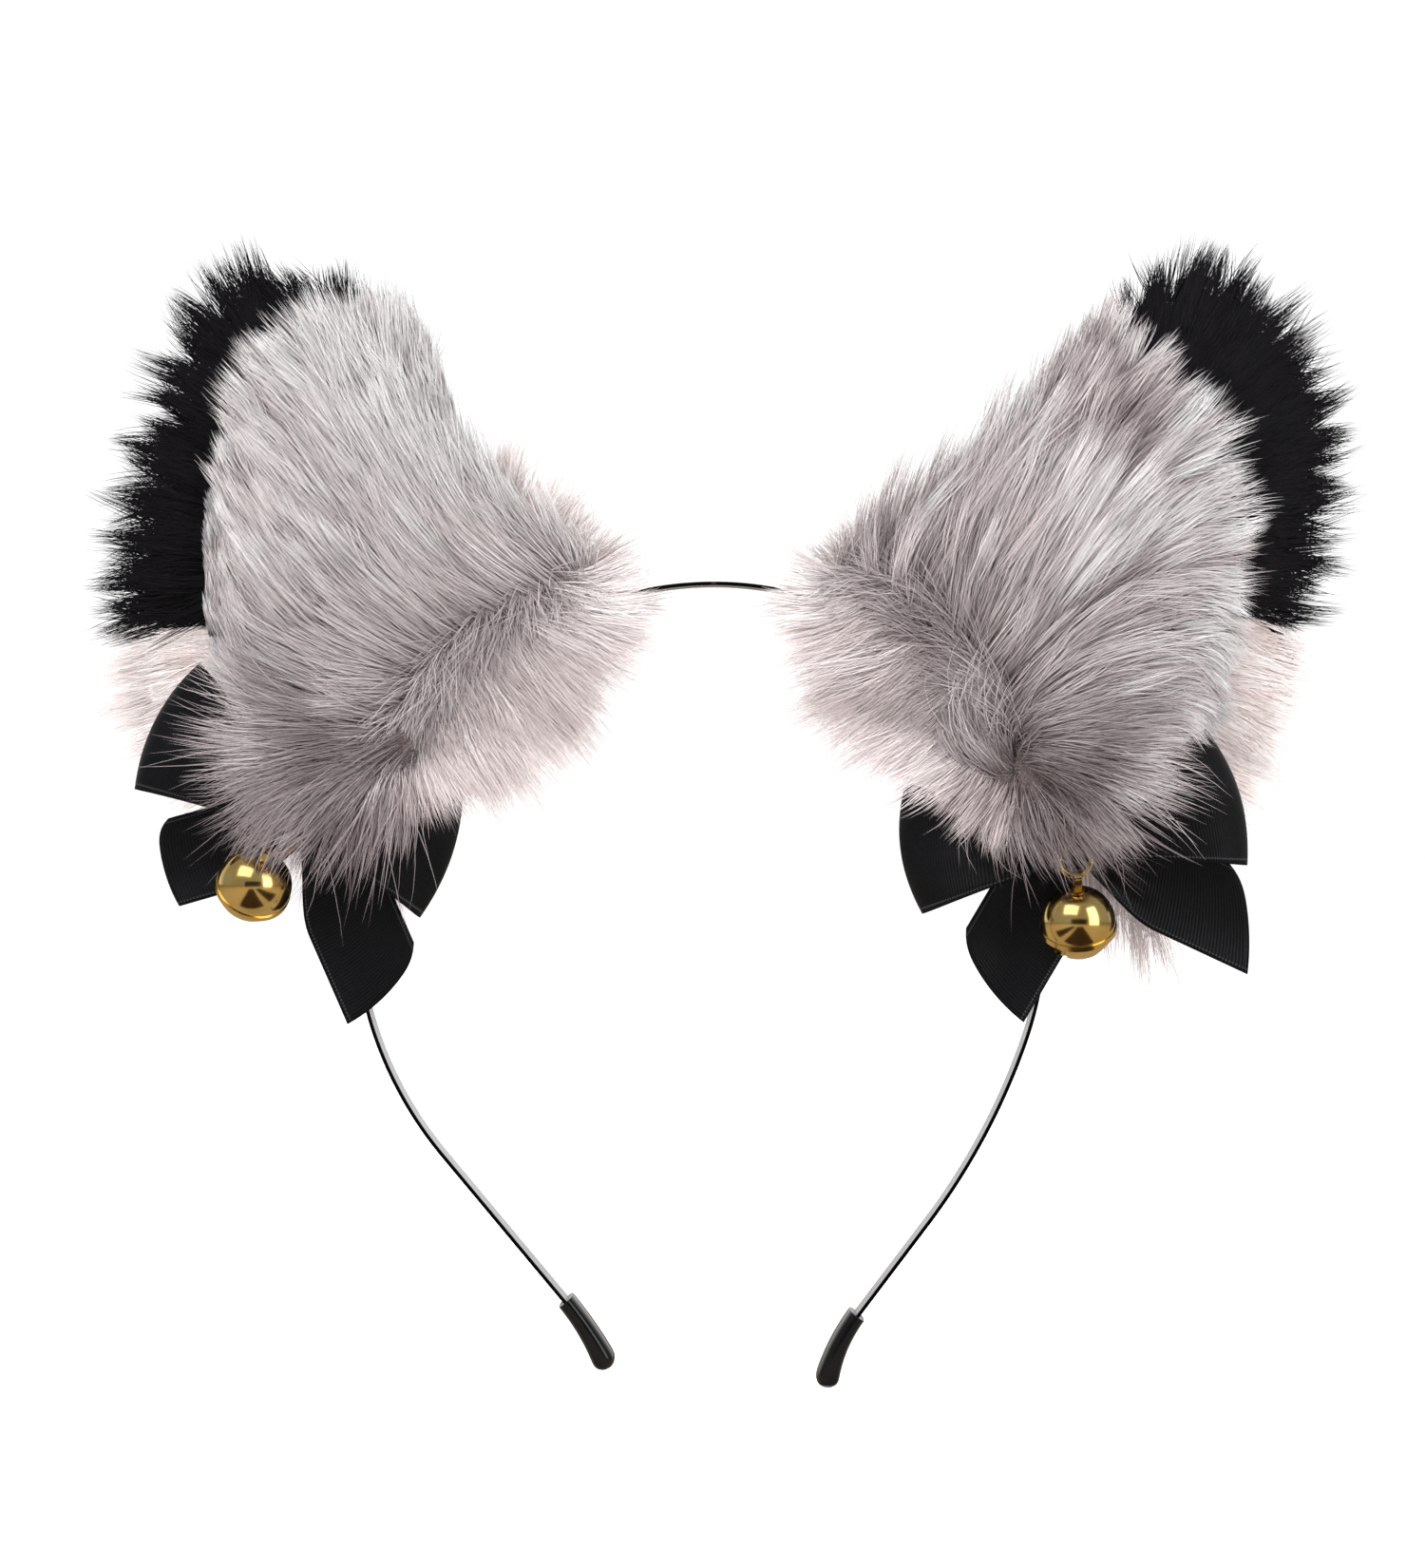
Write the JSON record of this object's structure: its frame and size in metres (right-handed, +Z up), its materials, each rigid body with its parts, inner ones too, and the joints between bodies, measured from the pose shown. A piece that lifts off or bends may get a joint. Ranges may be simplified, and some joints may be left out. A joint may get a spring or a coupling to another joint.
{
  "type": "animal ears headband",
  "caption": "Sprung steel headband with plush fur animal ears, black ribbon bows and jingle bells that swing.",
  "frame": {"origin": "inner face of the steel band at the top of the head", "axes": "+Z up as worn, +X along the width of the headband, -Y towards the front of the ears"},
  "size_m": [0.2138, 0.0425, 0.1995],
  "materials": {
    "steel": "polished spring steel strip",
    "tip_rubber": "glossy dipped vinyl",
    "grey_fur": "long-pile lilac-grey faux fur",
    "black_fur": "long-pile black faux fur",
    "pale_fur": "long-pile pinkish white faux fur",
    "foam": "soft foam sheet",
    "satin": "black satin ribbon with woven edges",
    "thread": "sewing thread",
    "gold": "polished gold plate",
    "pellet_steel": "plain steel ball"
  },
  "bodies": {
    "band": {"band_crown": "steel"},
    "left_leg": {"left_band_leg": "steel", "left_end_tip": "tip_rubber"},
    "left_ear": {"left_ear_base_sleeve": "grey_fur", "left_ear_front_panel": "grey_fur", "left_ear_foam_core": "foam", "left_ear_back_panel": "black_fur", "left_ear_back_foot": "pale_fur", "left_ear_seam_stitches": "thread"},
    "left_bow": {"left_bow_loops": "satin", "left_bow_tails": "satin", "left_bow_knot": "satin", "left_bow_sewing": "thread", "left_ring_thread": "thread"},
    "left_ring": {"left_jump_ring": "gold"},
    "left_bell": {"left_bell_eye": "gold", "left_bell_upper_shell": "gold", "left_bell_lower_shell": "gold"},
    "left_pellet": {"left_bell_pellet": "pellet_steel"},
    "right_leg": {"right_band_leg": "steel", "right_end_tip": "tip_rubber"},
    "right_ear": {"right_ear_base_sleeve": "grey_fur", "right_ear_front_panel": "grey_fur", "right_ear_foam_core": "foam", "right_ear_back_panel": "black_fur", "right_ear_back_foot": "pale_fur", "right_ear_seam_stitches": "thread"},
    "right_bow": {"right_bow_loops": "satin", "right_bow_tails": "satin", "right_bow_knot": "satin", "right_bow_sewing": "thread", "right_ring_thread": "thread"},
    "right_ring": {"right_jump_ring": "gold"},
    "right_bell": {"right_bell_eye": "gold", "right_bell_upper_shell": "gold", "right_bell_lower_shell": "gold"},
    "right_pellet": {"right_bell_pellet": "pellet_steel"}
  },
  "joints": [
    {"name": "left_leg_flex", "type": "hinge", "parent": "band", "child": "left_leg", "pos_m": [-0.05902, 0, -0.04266], "axis": [0, 1, 0], "range_deg": [-6, 16], "stiffness_Nm_per_rad": 0.24},
    {"name": "left_ear_tilt", "type": "hinge", "parent": "band", "child": "left_ear", "pos_m": [-0.03747, 0, -0.01538], "axis": [0.7771, 0, 0.6293], "range_deg": [-15, 6]},
    {"name": "left_bow_turn", "type": "hinge", "parent": "left_ear", "child": "left_bow", "pos_m": [-0.0688, 0, -0.041], "axis": [0, 1, 0], "range_deg": [-6, 6]},
    {"name": "left_ring_swing", "type": "hinge", "parent": "left_bow", "child": "left_ring", "pos_m": [-0.07133, -0.0236, -0.0418], "axis": [0, 1, 0], "range_deg": [-40, 10]},
    {"name": "left_bell_swing", "type": "hinge", "parent": "left_ring", "child": "left_bell", "pos_m": [-0.07366, -0.0236, -0.04553], "axis": [-0.848, 0, 0.5299], "range_deg": [0, 70]},
    {"name": "left_pellet_roll", "type": "hinge", "parent": "left_bell", "child": "left_pellet", "pos_m": [-0.0772, -0.01692, -0.0512], "axis": [0.848, 0, -0.5299], "range_deg": [-55, 55]},
    {"name": "right_leg_flex", "type": "hinge", "parent": "band", "child": "right_leg", "pos_m": [0.05427, 0, -0.03921], "axis": [0, -1, 0], "range_deg": [-6, 16], "stiffness_Nm_per_rad": 0.24},
    {"name": "right_ear_tilt", "type": "hinge", "parent": "band", "child": "right_ear", "pos_m": [0.03445, 0, -0.01411], "axis": [0.7771, 0, -0.6293], "range_deg": [-15, 6]},
    {"name": "right_bow_turn", "type": "hinge", "parent": "right_ear", "child": "right_bow", "pos_m": [0.0612, 0, -0.0442], "axis": [0, 1, 0], "range_deg": [-6, 6]},
    {"name": "right_ring_swing", "type": "hinge", "parent": "right_bow", "child": "right_ring", "pos_m": [0.05951, -0.0236, -0.04514], "axis": [0, 1, 0], "range_deg": [-15, 15]},
    {"name": "right_bell_swing", "type": "hinge", "parent": "right_ring", "child": "right_bell", "pos_m": [0.05997, -0.0236, -0.04952], "axis": [-0.9945, 0, -0.1045], "range_deg": [0, 70]},
    {"name": "right_pellet_roll", "type": "hinge", "parent": "right_bell", "child": "right_pellet", "pos_m": [0.0608, -0.01845, -0.0574], "axis": [0.9945, 0, 0.1045], "range_deg": [-55, 55]}
  ]
}
